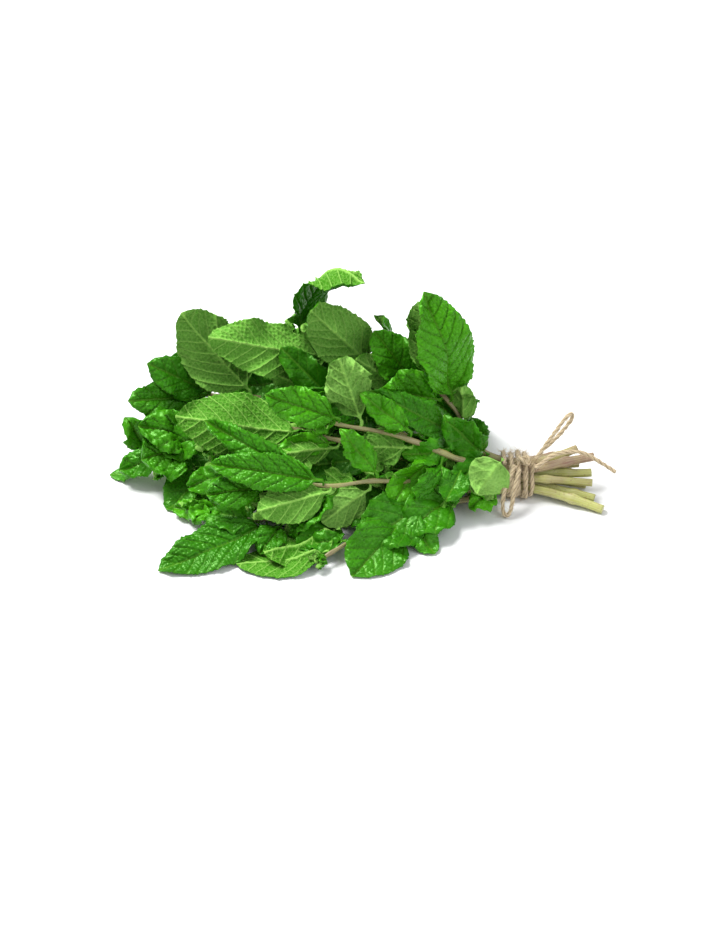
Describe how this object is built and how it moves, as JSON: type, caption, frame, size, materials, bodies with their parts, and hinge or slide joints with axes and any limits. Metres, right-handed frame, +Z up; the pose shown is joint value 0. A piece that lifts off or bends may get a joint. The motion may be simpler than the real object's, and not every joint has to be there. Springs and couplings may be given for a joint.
{
  "type": "bunch of mint",
  "caption": "Bunch of fresh mint lying on its side: leafy stems gathered near their cut ends and tied with natural twine in a bow.",
  "frame": {"origin": "middle, across and along, of the bunch's box without its free twine, on the surface that it lies on", "axes": "+X along the stems towards their cut ends, +Y across the bunch, +Z up from the surface"},
  "size_m": [0.2204, 0.1272, 0.09],
  "materials": {
    "leaf": "satin, quilted, with pale veins underneath",
    "leaf_young": "satin, smooth, light green",
    "stem": "smooth, slightly hairy, green to purple brown",
    "twine": "rough twisted natural fibre"
  },
  "bodies": {
    "root": {"leaf_back_crown": "leaf", "leaf_back_left": "leaf", "leaf_back_slope": "leaf", "leaf_back_table": "leaf", "leaf_crown_back": "leaf", "leaf_crown_curl": "leaf", "leaf_crown_mid": "leaf", "leaf_deep_blue": "leaf", "leaf_deep_green": "leaf", "leaf_deep_olive": "leaf", "leaf_deep_shade": "leaf", "leaf_drop_bright": "leaf_young", "leaf_drop_grey": "leaf", "leaf_end_bumpy": "leaf", "leaf_far_dark": "leaf", "leaf_far_flat": "leaf", "leaf_far_quilt": "leaf", "leaf_far_small": "leaf", "leaf_fold_olive": "leaf", "leaf_fold_strip": "leaf", "leaf_left_dark": "leaf", "leaf_left_tall": "leaf", "leaf_left_veined": "leaf", "leaf_long_light": "leaf_young", "leaf_mid_bright": "leaf_young", "leaf_mid_bumpy": "leaf", "leaf_mid_pale": "leaf", "leaf_mid_upright": "leaf", "leaf_node_curl": "leaf_young", "leaf_node_pale": "leaf", "leaf_right_behind": "leaf", "leaf_right_long": "leaf", "leaf_right_net": "leaf", "leaf_right_olive": "leaf", "leaf_right_pale": "leaf", "leaf_right_tall": "leaf", "leaf_table_bumpy": "leaf", "leaf_table_glossy": "leaf", "leaf_table_olive": "leaf", "leaf_table_quilt": "leaf", "leaf_table_right": "leaf_young", "leaf_tie_dark": "leaf", "leaf_tie_pale": "leaf", "leaf_top_green": "leaf_young", "leaf_top_small": "leaf", "stem_back_high": "stem", "stem_back_low": "stem", "stem_back_mid": "stem", "stem_front_high": "stem", "stem_front_low": "stem", "stem_front_mid": "stem", "stem_middle_high": "stem", "stem_middle_low": "stem", "stem_top_back": "stem", "stem_top_front": "stem", "twine_bow_front": "twine", "twine_bow_upright": "twine", "twine_knot": "twine", "twine_tail": "twine", "twine_wrap": "twine"}
  },
  "joints": []
}
